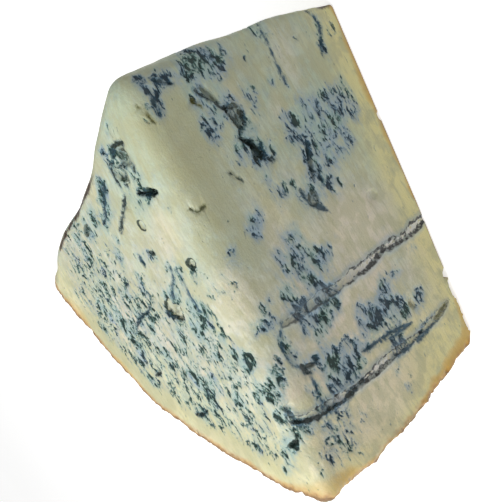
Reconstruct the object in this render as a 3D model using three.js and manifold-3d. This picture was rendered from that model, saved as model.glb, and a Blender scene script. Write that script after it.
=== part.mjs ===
// A wedge of blue cheese, cut from half of a large wheel.
//
// Millimetres, +Z up. The wheel was sliced in two level halves and then cut to its middle,
// so the wedge has a soft level cut on top, two upright cuts that meet in the point, and
// rind on its flat underside and round its outer wall. It rests on the flat rind.
// The front cut faces -Y, the back cut +Y, the point +X and the outer wall -X.

import * as THREE from 'three';
import { mergeVertices } from 'three/addons/utils/BufferGeometryUtils.js';
import Module from 'manifold-3d';

// The wheel and its cuts
const WHEEL_RADIUS = 147.5;
const HEIGHT = 98.5;
const HALF_ANGLE = THREE.MathUtils.degToRad(36);
const APEX_X = 74.2; // where the two cuts would meet, were the point not blunt

// The outer wall: widest at one level, drawn in above and below it, with a lump under its rim
const WIDEST_LEVEL = 58;
const BARREL_REACH = 60;
const DRAWN_IN_BELOW = 3.1; // how far in the wall is, BARREL_REACH below its widest level
const DRAWN_IN_ABOVE = 5.2;
const LUMP = { height: 3.6, place: 13, reach: 27, levels: [40, 90] };
const BASE_RIM = 6.5; // radius of the edge between the underside and the wall
const TOP_RIM = 3.2; // radius of the edge between the wall and the level cut

// Radii of the cuts' edges: crisp low down, smeared round where the soft paste meets the level cut
const CRISP = 1.5;
const FRONT_FOOT = 2.4;
const RIDGE_BACK = 4.2;
const RIDGE_AT_POINT = 7;
const RIDGE_INNER = 11;
const RIDGE_OUTER = 8.7;
const FRONT_CORNER = 6;
const BACK_CORNER = 10;
const POINT_LOW = 2.3;
const POINT_HIGH = 9.6;

// Where one radius gives way to the next: distances from the point, across the wedge, and levels
const INNER_REACH = [0, 60];
const OUTER_REACH = [70, 110];
const CORNER_REACH = [115, 140];
const FOOT_REACH = [80, 105];
const FRONT_TO_BACK = [-6, 10];
const RIDGE_LEVELS = [HEIGHT - 45, HEIGHT - 8];
const POINT_LEVELS = [HEIGHT - 60, HEIGHT];

// The paste sags: the point swells, and the back cut is drawn in and hollowed
const SWELL = { height: 1.2, reach: 45, fade: [0, 30] };
const SWELL_HIGH = { height: 1.55, levels: [HEIGHT - 50, HEIGHT] };
const DRAWN_BACK = { depth: 1.4, reach: [5, 30] };
const SCOOP = { depth: 2.9, place: 57.5, reach: 26.5, levels: [30, 95] };

// Low waves that the wire and the cloth leave, above the flat underside
const CUT_WAVE = { depth: 0.35, length: 34 };
const RIND_WAVE = { depth: 0.7, length: 19 };
const OFF_BASE = [4, 16];

// The grid that is bent to the wedge
const CELLS_ALONG = 27;
const CELLS_UP = 18;
const EDGE_PACKING = 0.35;
const LEAST_RING = 1e-9;

// How vertices are drawn to the surface
const SLOPE_STEP = 0.01;
const DRAW_ROUNDS = 12;
const LEAST_SLOPE = 0.2;
const UNDERSIDE_SNAP = 0.02;
const MERGE_WITHIN = 1e-4;

// Needle channels, long cracks and closed-up needle tracks that the cuts lay open: the rod's
// radius, how deep its middle lies, and points along the face and across it
const CHANNEL_SIDES = 7;
const CHANNEL_STEP = 5;
const CHANNELS = [
  {
    face: 'front',
    radius: 1.7,
    sunk: 0.3,
    route: [[88.5, -4], [89, 15], [87.5, 28], [88.5, 41], [87.7, 55], [87, 70], [86, 84]],
  },
  {
    face: 'front',
    radius: 1.4,
    sunk: 0.2,
    route: [[123, 9], [123.6, 22], [121.8, 41], [120.3, 57], [118.2, 76], [116, 88], [112.5, 97]],
  },
  { face: 'front', radius: 1.4, sunk: -0.5, route: [[111.5, 60], [114, 46], [117.6, 31]] },
  {
    face: 'front',
    radius: 1.1,
    sunk: -0.1,
    route: [[11, 76.5], [16, 72], [23, 67.6], [30, 67], [37, 62.5], [40, 59]],
  },
  { face: 'front', radius: 0.9, sunk: 0, route: [[53, 54], [58, 53], [62, 48.5], [66, 45.4]] },
  { face: 'back', radius: 1.6, sunk: 1.4, route: [[57, -4], [56, 20], [58, 44], [57, 71]] },
  { face: 'back', radius: 1.5, sunk: 1.2, route: [[104, -4], [105.5, 26], [103, 52], [104.5, 80]] },
  { face: 'top', radius: 1.1, sunk: 0, route: [[-56, 9], [-48, 6], [-38, 2.6]] },
  { face: 'top', radius: 1.2, sunk: 0, route: [[-107, 12], [-99, 9.5], [-91, 4], [-84, -1]] },
  { face: 'top', radius: 1.1, sunk: 0, route: [[-124, 2.8], [-121, 0], [-118, -1.2]] },
  { face: 'top', radius: 1.2, sunk: 0, route: [[-128, -21], [-124, -25], [-119, -28]] },
];

// Holes that mould and gas left, and crumbs broken from the foot of the front cut: centre, half
// widths, depth and turn
const HOLES = [
  { face: 'front', at: [23.4, 65.8], half: [4.8, 2.4], depth: 2.8, turn: 0.1 },
  { face: 'front', at: [35, 64], half: [4.4, 2], depth: 2.8, turn: -0.25 },
  { face: 'front', at: [58, 50], half: [3.2, 2.4], depth: 1.6, turn: 0.5 },
  { face: 'front', at: [47, 44.5], half: [6, 1.4], depth: 1.6, turn: 0.3 },
  { face: 'front', at: [102.5, 80.5], half: [1.9, 3.6], depth: 2, turn: 0.2 },
  { face: 'front', at: [69, 23], half: [2.4, 3.4], depth: 0.9, turn: 0.3 },
  { face: 'front', at: [112, 27], half: [2.6, 1.6], depth: 1, turn: -0.5 },
  { face: 'front', at: [45, 0], half: [2.2, 2.2], depth: 2.4, turn: 0 },
  { face: 'front', at: [113, 0], half: [3.6, 4], depth: 3.4, turn: 0.1 },
  { face: 'front', at: [120.5, 0], half: [4.4, 3], depth: 2.8, turn: -0.1 },
  { face: 'top', at: [-32, -10.5], half: [2, 3.8], depth: 3.6, turn: 0.4 },
  { face: 'top', at: [-31.5, 1.5], half: [2.2, 4.8], depth: 2.4, turn: 0.5 },
  { face: 'top', at: [-24, -2], half: [2.8, 3.4], depth: 2.2, turn: -0.6 },
  { face: 'top', at: [-76, -15], half: [4, 5], depth: 2.4, turn: 0.2 },
  { face: 'top', at: [-47, -4], half: [1.7, 1.7], depth: 1.3, turn: 0 },
  { face: 'top', at: [-50.5, -26], half: [1.9, 1.9], depth: 1.3, turn: 0 },
  { face: 'top', at: [-56.5, -7.5], half: [1.8, 2.4], depth: 2, turn: 0.5 },
  { face: 'top', at: [-67, 33], half: [3.6, 2], depth: 2.4, turn: -0.4 },
  { face: 'top', at: [-101, -67], half: [3.2, 1.8], depth: 2.2, turn: -0.4 },
  { face: 'top', at: [-88, -63], half: [2.6, 1.6], depth: 2, turn: -0.5 },
  { face: 'back', at: [31, 62], half: [6, 2.4], depth: 4.4, turn: 0.2 },
  { face: 'back', at: [78, 30], half: [4.4, 2.2], depth: 3.4, turn: -0.4 },
  { face: 'back', at: [84, 68], half: [5, 2.2], depth: 4.6, turn: 0.3 },
  { face: 'back', at: [40, 24], half: [3.2, 1.9], depth: 3, turn: 0.5 },
];
const HOLE_DETAIL = 1;
const HOLE_ROUGHNESS = 0.22;
const HOLE_LUMPS = { spread: 4, length: 6 };

const PASTE_COLOUR = 0xd7d8b6;
const PASTE_ROUGHNESS = 0.45;

const UP = new THREE.Vector3(0, 0, 1);
const sine = Math.sin(HALF_ANGLE);
const cosine = Math.cos(HALF_ANGLE);

// Each cut as a plane with its own two directions and the way it faces. Origins are on the point.
const FACES = {
  front: {
    origin: new THREE.Vector3(0, 0, 0),
    along: new THREE.Vector3(-cosine, -sine, 0),
    across: UP,
    out: new THREE.Vector3(sine, -cosine, 0),
  },
  back: {
    origin: new THREE.Vector3(0, 0, 0),
    along: new THREE.Vector3(-cosine, sine, 0),
    across: UP,
    out: new THREE.Vector3(sine, cosine, 0),
  },
  top: {
    origin: new THREE.Vector3(0, 0, HEIGHT),
    along: new THREE.Vector3(1, 0, 0),
    across: new THREE.Vector3(0, 1, 0),
    out: UP,
  },
};

const { smoothstep, lerp } = THREE.MathUtils;
const within = (x, [low, high]) => smoothstep(x, low, high);
const bell = (distance, reach) => Math.exp(-((distance / reach) ** 2));

// Where two half spaces meet, with their shared edge rounded to a radius
function roundedMeet(a, b, radius) {
  const outside = Math.hypot(Math.max(a + radius, 0), Math.max(b + radius, 0));
  return Math.min(Math.max(a, b), -radius) + outside;
}

// A smooth uneven wave between -1 and 1
function wave(x, y, z, length) {
  const k = (2 * Math.PI) / length;
  const first = Math.sin(k * (x + 0.6 * z) + 1.7 * Math.sin(0.53 * k * y));
  const second = Math.sin(k * (0.8 * y - 0.7 * z) + 1.3 * Math.sin(0.61 * k * x));
  const third = Math.sin(k * (1.1 * z - 0.5 * x + 0.4 * y) + 0.8);
  return (first + second + third) / 3;
}

// Distance out from the rind's wall
function wallDistance(x, y, z) {
  const drawnIn = z > WIDEST_LEVEL ? DRAWN_IN_ABOVE : DRAWN_IN_BELOW;
  const barrel = drawnIn * ((z - WIDEST_LEVEL) / BARREL_REACH) ** 2;
  const lump = LUMP.height * bell(y - LUMP.place, LUMP.reach) * within(z, LUMP.levels);
  const rindWave = RIND_WAVE.depth * wave(x, y, z, RIND_WAVE.length) * within(z, OFF_BASE);
  return Math.hypot(x, y) - (WHEEL_RADIUS - barrel + lump) + RIND_WAVE.depth + rindWave;
}

// The radius of the cuts' edges
function edgeRadius(y, z, reach) {
  const back = within(y, FRONT_TO_BACK);
  const inner = lerp(RIDGE_AT_POINT, RIDGE_INNER, within(reach, INNER_REACH));
  const frontRidge = inner - (RIDGE_INNER - RIDGE_OUTER) * within(reach, OUTER_REACH);
  const corner = lerp(FRONT_CORNER, BACK_CORNER, back);
  const ridge = lerp(lerp(frontRidge, RIDGE_BACK, back), corner, within(reach, CORNER_REACH));
  const foot = CRISP + (FRONT_FOOT - CRISP) * within(reach, FOOT_REACH) * (1 - back);
  return lerp(foot, ridge, within(z, RIDGE_LEVELS));
}

// Distance to the wedge's surface, below zero inside, measured from the point's foot
function wedgeDistance(x, y, z) {
  const reach = Math.hypot(x, y);
  const cutWave = CUT_WAVE.depth * wave(x, y, z, CUT_WAVE.length);

  const middle = SWELL.height * within(z, SWELL.fade) * within(HEIGHT - z, SWELL.fade);
  const high = SWELL_HIGH.height * within(z, SWELL_HIGH.levels);
  const swell = bell(reach, SWELL.reach) * (middle + high) + cutWave * within(z, OFF_BASE);
  const alongBack = y * sine - x * cosine;
  const scoop = SCOOP.depth * bell(alongBack - SCOOP.place, SCOOP.reach);
  const hollow = (scoop + DRAWN_BACK.depth * within(alongBack, DRAWN_BACK.reach)) * within(z, SCOOP.levels);
  const front = sine * x - cosine * y - swell;
  const back = sine * x + cosine * y - swell + hollow;
  const sector = roundedMeet(front, back, lerp(POINT_LOW, POINT_HIGH, within(z, POINT_LEVELS)));

  const top = z - HEIGHT + CUT_WAVE.depth - cutWave;
  const wheel = roundedMeet(roundedMeet(wallDistance(x, y, z), -z, BASE_RIM), top, TOP_RIM);
  return roundedMeet(wheel, sector, edgeRadius(y, z, reach));
}

// Slides a vertex down the distance's slope until it lies on the surface
function drawToSurface(p) {
  const step = SLOPE_STEP;
  for (let round = 0; round < DRAW_ROUNDS; round += 1) {
    const distance = wedgeDistance(p.x, p.y, p.z);
    const slope = new THREE.Vector3(
      wedgeDistance(p.x + step, p.y, p.z) - wedgeDistance(p.x - step, p.y, p.z),
      wedgeDistance(p.x, p.y + step, p.z) - wedgeDistance(p.x, p.y - step, p.z),
      wedgeDistance(p.x, p.y, p.z + step) - wedgeDistance(p.x, p.y, p.z - step),
    ).divideScalar(2 * step);
    p.addScaledVector(slope, -distance / Math.max(slope.lengthSq(), LEAST_SLOPE));
  }
  if (Math.abs(p.z) < UNDERSIDE_SNAP) p.z = 0;
}

// Draws grid lines together towards both ends of 0 to 1
const packed = (t) => t - (EDGE_PACKING * Math.sin(2 * Math.PI * t)) / (2 * Math.PI);

// A box grid whose two sides at the origin become the cuts and the other two the outer wall
function wedgeGeometry() {
  const grid = new THREE.BoxGeometry(1, 1, 1, CELLS_ALONG, CELLS_ALONG, CELLS_UP);
  const places = grid.getAttribute('position');
  const p = new THREE.Vector3();
  for (let i = 0; i < places.count; i += 1) {
    p.fromBufferAttribute(places, i).addScalar(0.5);
    const back = packed(p.x);
    const front = packed(p.y);
    const ring = Math.max(back, front, LEAST_RING);
    const turn = back >= front ? 1 - front / ring : back / ring - 1;
    const angle = turn * HALF_ANGLE;
    const reach = ring * WHEEL_RADIUS;
    p.set(-reach * Math.cos(angle), reach * Math.sin(angle), packed(p.z) * HEIGHT);
    drawToSurface(p);
    places.setXYZ(i, p.x, p.y, p.z);
  }
  return grid;
}

function onFace(face, along, across, out) {
  const { origin, along: u, across: v, out: n } = FACES[face];
  return origin.clone().addScaledVector(u, along).addScaledVector(v, across).addScaledVector(n, out);
}

// A round rod that lies in a face along its route
function channelGeometry({ face, radius, sunk, route }) {
  const points = route.map(([along, across]) => onFace(face, along, across, -sunk));
  const path = new THREE.CatmullRomCurve3(points);
  const corner = (i) => (i * 2 * Math.PI) / CHANNEL_SIDES;
  const corners = Array.from({ length: CHANNEL_SIDES }, (_, i) => (
    new THREE.Vector2(radius * Math.cos(corner(i)), radius * Math.sin(corner(i)))
  ));
  const section = new THREE.Shape(corners);
  const steps = Math.ceil(path.getLength() / CHANNEL_STEP);
  return new THREE.ExtrudeGeometry(section, {
    steps,
    extrudePath: path,
    bevelEnabled: false,
  });
}

// A lumpy pebble that is half sunk in a face
function holeGeometry({ face, at, half, depth, turn }) {
  const pebble = new THREE.IcosahedronGeometry(1, HOLE_DETAIL);
  const places = pebble.getAttribute('position');
  const { spread, length } = HOLE_LUMPS;
  const p = new THREE.Vector3();
  for (let i = 0; i < places.count; i += 1) {
    p.fromBufferAttribute(places, i);
    const lump = wave(spread * p.x + at[0], spread * p.y + at[1], spread * p.z, length);
    p.multiplyScalar(1 + HOLE_ROUGHNESS * lump);
    p.multiply(new THREE.Vector3(half[0], half[1], depth));
    places.setXYZ(i, p.x, p.y, p.z);
  }
  const { along, out } = FACES[face];
  const side = new THREE.Vector3().crossVectors(out, along);
  pebble.rotateZ(turn);
  pebble.applyMatrix4(new THREE.Matrix4().makeBasis(along, side, out));
  const centre = onFace(face, at[0], at[1], 0);
  return pebble.translate(centre.x, centre.y, centre.z);
}

const wasm = await Module();
wasm.setup();

function toManifold(geometry) {
  const bare = new THREE.BufferGeometry();
  bare.setAttribute('position', geometry.getAttribute('position').clone());
  bare.setIndex(geometry.getIndex());
  const merged = mergeVertices(bare, MERGE_WITHIN);
  return new wasm.Manifold(new wasm.Mesh({
    numProp: 3,
    vertProperties: new Float32Array(merged.getAttribute('position').array),
    triVerts: new Uint32Array(merged.getIndex().array),
  }));
}

function toGeometry(manifold) {
  const mesh = manifold.getMesh();
  const geometry = new THREE.BufferGeometry();
  geometry.setAttribute('position', new THREE.BufferAttribute(mesh.vertProperties, 3));
  geometry.setIndex(new THREE.BufferAttribute(mesh.triVerts, 1));
  geometry.computeVertexNormals();
  return geometry;
}

function cheeseGeometry() {
  const cutters = [...CHANNELS.map(channelGeometry), ...HOLES.map(holeGeometry)];
  let cheese = toManifold(wedgeGeometry());
  for (const cutter of cutters) {
    cheese = cheese.subtract(toManifold(cutter));
  }
  return toGeometry(cheese);
}

function cheeseWedge() {
  const material = new THREE.MeshStandardMaterial({
    color: PASTE_COLOUR,
    roughness: PASTE_ROUGHNESS,
    metalness: 0,
  });
  const mesh = new THREE.Mesh(cheeseGeometry(), material);
  mesh.name = 'gorgonzola_wedge';
  mesh.position.x = APEX_X;
  return mesh;
}

const group = new THREE.Group();
group.add(cheeseWedge());

export default group;
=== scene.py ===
"""Looks for the blue cheese wedge: one dense mesh with its marbling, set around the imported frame.

Sizes are in millimetres and are turned into metres when the mesh is made. Places on the wedge are
measured from the foot of the line where its two upright cuts would meet. The front cut faces -Y,
the back cut +Y, the level cut +Z, and the rind covers the curved wall and the underside.
"""

import math

import bmesh
import bpy
import numpy as np
from mathutils import Matrix, Vector


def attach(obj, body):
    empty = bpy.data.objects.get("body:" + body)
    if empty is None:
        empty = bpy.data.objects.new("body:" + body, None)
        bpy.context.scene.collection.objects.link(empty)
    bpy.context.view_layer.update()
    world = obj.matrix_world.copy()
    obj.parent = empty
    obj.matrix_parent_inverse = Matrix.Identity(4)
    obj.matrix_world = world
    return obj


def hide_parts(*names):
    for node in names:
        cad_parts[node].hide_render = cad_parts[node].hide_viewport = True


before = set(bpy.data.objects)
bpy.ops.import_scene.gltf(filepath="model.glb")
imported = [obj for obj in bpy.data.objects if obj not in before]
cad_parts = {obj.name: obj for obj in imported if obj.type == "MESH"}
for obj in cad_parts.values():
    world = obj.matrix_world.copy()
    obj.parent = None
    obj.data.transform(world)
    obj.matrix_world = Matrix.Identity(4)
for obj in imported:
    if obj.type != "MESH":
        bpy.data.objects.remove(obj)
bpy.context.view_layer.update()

MM = 0.001
NODE = "gorgonzola_wedge"

# ---------------- the wheel and its cuts

WHEEL_RADIUS = 147.5
HEIGHT = 98.5
HALF_ANGLE = math.radians(36)
APEX_X = 74.2

# The outer wall: widest at one level, drawn in above and below it, with a lump under its rim
WIDEST_LEVEL, BARREL_REACH = 58.0, 60.0
DRAWN_IN_BELOW, DRAWN_IN_ABOVE = 3.1, 5.2
LUMP, LUMP_PLACE, LUMP_REACH, LUMP_LEVELS = 3.6, 13.0, 27.0, (40, 90)
BASE_RIM, TOP_RIM = 6.5, 3.2

# Radii of the cuts' edges, and where along the edges each takes over
CRISP, FRONT_FOOT, RIDGE_BACK = 1.5, 2.4, 4.2
RIDGE_AT_POINT, RIDGE_INNER, RIDGE_OUTER = 7.0, 11.0, 8.7
FRONT_CORNER, BACK_CORNER = 6.0, 10.0
POINT_LOW, POINT_HIGH = 2.3, 9.6
INNER_REACH, OUTER_REACH, CORNER_REACH, FOOT_REACH = (0, 60), (70, 110), (115, 140), (80, 105)
FRONT_TO_BACK = (-6, 10)
RIDGE_LEVELS, POINT_LEVELS = (HEIGHT - 45, HEIGHT - 8), (HEIGHT - 60, HEIGHT)

# The paste sags: the point swells and the back cut is drawn in and hollowed
SWELL, SWELL_TOP, SWELL_REACH = 1.2, 1.55, 45.0
SWELL_FADE, SWELL_TOP_LEVELS = (0, 30), (HEIGHT - 50, HEIGHT)
DRAWN_BACK, DRAWN_BACK_REACH = 1.4, (5, 30)
SCOOP, SCOOP_PLACE, SCOOP_REACH, SCOOP_LEVELS = 2.9, 57.5, 26.5, (30, 95)

# Low waves that the wire and the cloth leave, above the flat underside
CUT_WAVE_DEPTH, CUT_WAVE_LENGTH = 0.35, 34.0
RIND_WAVE_DEPTH, RIND_WAVE_LENGTH = 0.7, 19.0
OFF_BASE = (4, 16)

SINE, COSINE = math.sin(HALF_ANGLE), math.cos(HALF_ANGLE)
UP = np.array([0.0, 0.0, 1.0])

# Each cut: a point on it, its two directions and the way it faces
FACES = {
    "front": (np.zeros(3), np.array([-COSINE, -SINE, 0]), UP, np.array([SINE, -COSINE, 0])),
    "back": (np.zeros(3), np.array([-COSINE, SINE, 0]), UP, np.array([SINE, COSINE, 0])),
    "top": (HEIGHT * UP, np.array([1.0, 0, 0]), np.array([0, 1.0, 0]), UP),
}

# ---------------- what the cuts lay open

# Needle channels: half width, the stretch of the route, 0 to 1, where the groove lies open and
# pale, its pale floor partly painted highlight, past 1 where it does nowhere, and the route along and
# across the face
CHANNELS = {
    "front": [
        (1.75, (0.02, 0.62), [(88.5, -4), (88.6, 8), (89, 15), (88.6, 21), (87.5, 27), (87.8, 34),
                              (88.7, 41), (87.6, 46), (87.7, 55), (87, 63), (87, 72), (86, 84)]),
        (1.45, (0.1, 0.5), [(121.2, 46), (120.6, 52), (120.2, 58), (119.6, 68), (118.2, 76), (117, 82),
                            (116, 88), (114, 94), (111.5, 98)]),
        (1.2, (2, 2), [(120.4, 50), (122, 42), (123.2, 33), (123.4, 25), (123, 16), (122.4, 8)]),
    ],
    "back": [
        (1.9, (0.1, 0.8), [(57, -4), (56, 20), (58, 44), (57, 71)]),
        (1.7, (0.2, 0.6), [(104, -4), (105.5, 26), (103, 52), (104.5, 80)]),
    ],
}

# Cracks and solid veins: half width, depth, colour from 0, black, by 0.5, blue mould, and 1, olive,
# to 1.5, dark brown lines, and route
CRACKS = {
    "front": [
        (0.4, 0.5, 0.1, [(12, 76), (15, 73.5), (18, 70.5), (20, 69)]),
        (0.45, 0.9, 0.0, [(20, 69), (19.8, 66), (20.6, 63.8), (24, 63.2), (27, 64.4)]),
        (0.5, 1.0, 0.0, [(19.5, 68.5), (22.5, 68.2), (25, 66.2), (27.5, 66.6), (30, 68.6)]),
        (0.9, 1.6, 0.0, [(29.6, 68.4), (32, 65.4), (34, 62.6), (37, 61.6), (38.5, 64)]),
        (0.6, 1.0, 0.0, [(33, 63.6), (36, 66), (40, 65.4)]),
        (0.45, 0.7, 0.1, [(36, 63), (38.4, 61), (40.4, 59)]),
        (0.55, 0.5, 0.25, [(53, 54), (57, 53.4), (60.5, 51), (62, 48), (66, 45.4)]),
        (0.45, 0.5, 0.2, [(41, 41.6), (45, 44), (49, 45.4), (52, 42.6), (56, 42.8)]),
        (0.3, 0.4, 0.95, [(10, 95), (13, 94), (16, 92.8)]),
        (0.4, 0.6, 0.8, [(41, 94), (43.5, 92.6), (42.5, 90.3)]),
        (0.4, 0.6, 0.95, [(14, 78.4), (16.4, 76.4)]),
        (0.4, 0.7, 0.7, [(37.5, 77), (40, 75.5), (41.5, 74)]),
        (0.3, 0.2, 0.35, [(104, 83), (112, 83.4), (120, 84.6), (128, 85.5)]),
        (0.2, 0.2, 0.4, [(85, 84), (89, 87), (94, 88.3), (99, 87.4), (101.5, 84)]),
        (0.8, 0.6, 0.3, [(111.5, 60), (112.6, 54), (113.8, 47), (115, 41), (116.2, 36)]),
        (0.4, 0.3, 0.35, [(113.4, 52), (115.8, 44), (117, 38), (117.4, 31)]),
        (0.3, 0.4, 0.3, [(122.8, 47), (123.8, 40), (124.6, 33), (124.8, 25), (124.4, 19)]),
        (0.5, 0.4, 0.9, [(123.4, 19), (123.2, 14), (122.6, 9)]),
        (0.35, 0.2, 0.3, [(0, 41), (6, 40), (13, 40.6), (20, 40)]),
        (0.45, 0.4, 0.3, [(0.5, 16.5), (3.5, 13.4), (7, 12), (11, 14), (14.5, 16.4), (18, 18)]),
        (0.4, 0.4, 0.2, [(5, 88), (6.6, 85), (8, 82)]),
        (0.35, 0.3, 0.2, [(9, 90.4), (12, 90.8), (15, 90.2)]),
        (0.5, 0.5, 0.0, [(119.9, 76), (120, 70), (119.8, 64)]),
        (0.55, 0.5, 0.05, [(119.2, 78), (118.6, 83), (117.4, 88), (115.4, 93), (112.4, 98)]),
        (0.5, 0.7, 0.1, [(100.4, 84.6), (103, 84.2), (105, 82.6)]),
        (0.4, 0.5, 0.2, [(100.4, 79), (103, 77.6)]),
        (0.6, 0.1, 1.5, [(0.5, 0), (0.9, 4), (0.4, 9)]),
    ],
    "top": [
        (0.4, 0.7, 0.1, [(-56, 9), (-52, 7.6), (-45, 4.6), (-38, 2.6)]),
        (0.5, 0.9, 0.2, [(-107, 12), (-99, 9.5), (-93, 6), (-88, 1), (-84, -1)]),
        (0.7, 1.1, 0.1, [(-124, 2.8), (-121, 0), (-118, -1.2)]),
        (0.7, 1.1, 0.1, [(-128, -21), (-124, -25), (-119, -28)]),
        (0.4, 0.6, 0.1, [(-36.5, 4), (-34.5, 7), (-31, 8.2), (-28.5, 6.4)]),
        (0.6, 0.9, 0.0, [(-34.6, 2), (-33, -0.8), (-31, 0.6), (-30, 4)]),
        (0.5, 0.8, 0.0, [(-27, 5.4), (-24, 5.8), (-21.4, 3), (-19.4, -0.6)]),
        (0.7, 1.0, 0.0, [(-23.6, 3), (-22.4, 0), (-24, -2.6), (-27.6, -4)]),
        (0.4, 0.6, 0.1, [(-28.6, 3.4), (-28, 0.4), (-26, -1)]),
        (1.0, 1.8, 0.0, [(-35, -4), (-34, -7.4), (-32.4, -10), (-31, -13.4)]),
        (0.8, 1.2, 0.0, [(-80, -13), (-78.8, -17), (-76.6, -20.2)]),
        (0.5, 0.8, 0.3, [(-65, -2), (-63.5, 0.4), (-61, 1)]),
        (0.3, 0.4, 0.95, [(-8.5, -17), (-7.5, -14), (-6, -11.5)]),
        (0.4, 0.6, 0.85, [(-13.4, -46), (-12.6, -49)]),
        (0.35, 0.5, 0.2, [(-57, 19), (-52, 16.5), (-47, 17), (-43, 14.5), (-38, 16)]),
        (0.3, 0.4, 0.3, [(-51, 18), (-46, 15), (-41, 17.5)]),
        (0.3, 0.4, 0.3, [(-71, -16), (-66, -15.5), (-62, -17), (-58, -16)]),
        (0.3, 0.4, 0.4, [(-68, -28), (-65, -25), (-61, -22.5), (-57, -19)]),
        # dark brown lines along the back edge of the level cut
        (0.9, 0.2, 1.5, [(-39, 20.5), (-46, 25.5), (-54, 32), (-62, 38.5), (-68, 43.5)]),
        (0.5, 0.2, 1.4, [(-66, 42), (-74, 48.5), (-82, 54.5), (-90, 60)]),
    ],
    "back": [
        (0.9, 1.4, 0.0, [(20, 72), (27, 66), (33, 61), (41, 60)]),
        (0.7, 1.0, 0.1, [(76, 76), (83, 70), (92, 70)]),
        (0.8, 1.0, 0.4, [(66, 34), (76, 31), (83, 26)]),
    ],
}

# Holes: centre, half widths, depth, turn, and how dark mould makes their inside and their rim
HOLES = {
    "front": [
        ((23.4, 65.8), (3.8, 2.2), 1.5, 0.1, 0.1, 0.3),
        ((35, 64), (3.4, 1.6), 1.8, -0.25, 0.6, 0.5),
        ((14.5, 72), (3.6, 0.9), 1.2, -0.6, 0.4, 0.4),
        ((58, 50), (2.8, 2.2), 1.2, 0.5, 0.1, 0.5),
        ((47, 44.5), (5.4, 1.2), 1.3, 0.3, 0.3, 0.4),
        ((102.3, 81.5), (1.0, 2.2), 1.2, 0.3, 0.7, 0.5),
        ((69, 23), (2.4, 3.4), 0.9, 0.3, 0.0, 0.0),
        ((112, 27), (2.6, 1.6), 1.0, -0.5, 0.0, 0.1),
    ],
    "top": [
        ((-32, -11), (1.5, 2.8), 3.0, 0.4, 1.0, 0.8),
        ((-31.5, 3), (2.4, 3.8), 1.4, 0.5, 0.1, 0.2),
        ((-24, 1), (2.8, 3.4), 1.4, -0.6, 0.1, 0.2),
        ((-76, -15), (3.8, 4.8), 1.8, 0.2, 0.0, 0.9),
        ((-47, -4), (1.8, 1.8), 0.7, 0.0, 0.0, 0.9),
        ((-50.5, -26), (1.9, 1.9), 0.7, 0.0, 0.0, 0.9),
        ((-56.5, -7), (0.8, 1.7), 1.2, 0.5, 0.8, 0.7),
        ((-67, 33), (3.2, 1.6), 1.8, -0.4, 0.4, 0.6),
        ((-101, -67), (1.9, 0.8), 1.2, -0.5, 0.9, 0.8),
        ((-88, -63), (2.4, 1.2), 1.4, -0.5, 0.4, 0.6),
    ],
    "back": [
        ((31, 62), (6, 2.4), 3.0, 0.2, 0.7, 0.9),
        ((78, 30), (4.4, 2.2), 2.6, -0.4, 0.4, 0.8),
        ((84, 68), (5, 2), 2.4, 0.3, 0.5, 0.8),
        ((40, 24), (3.2, 1.9), 2.0, 0.5, 0.2, 0.7),
    ],
}

# Crumbs broken from the foot of the cuts: place along, half width and height
FOOT_BITES = {
    "front": [
        (45, 2.0, 1.6), (113, 2.8, 3.4), (119.5, 6.0, 2.7), (128, 6.0, 2.0), (135.5, 5.0, 2.6),
    ],
    "back": [
        (34, 3.0, 1.6), (71, 4.0, 2.4), (98, 3.0, 1.4), (126, 3.0, 2.0),
    ],
}

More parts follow.
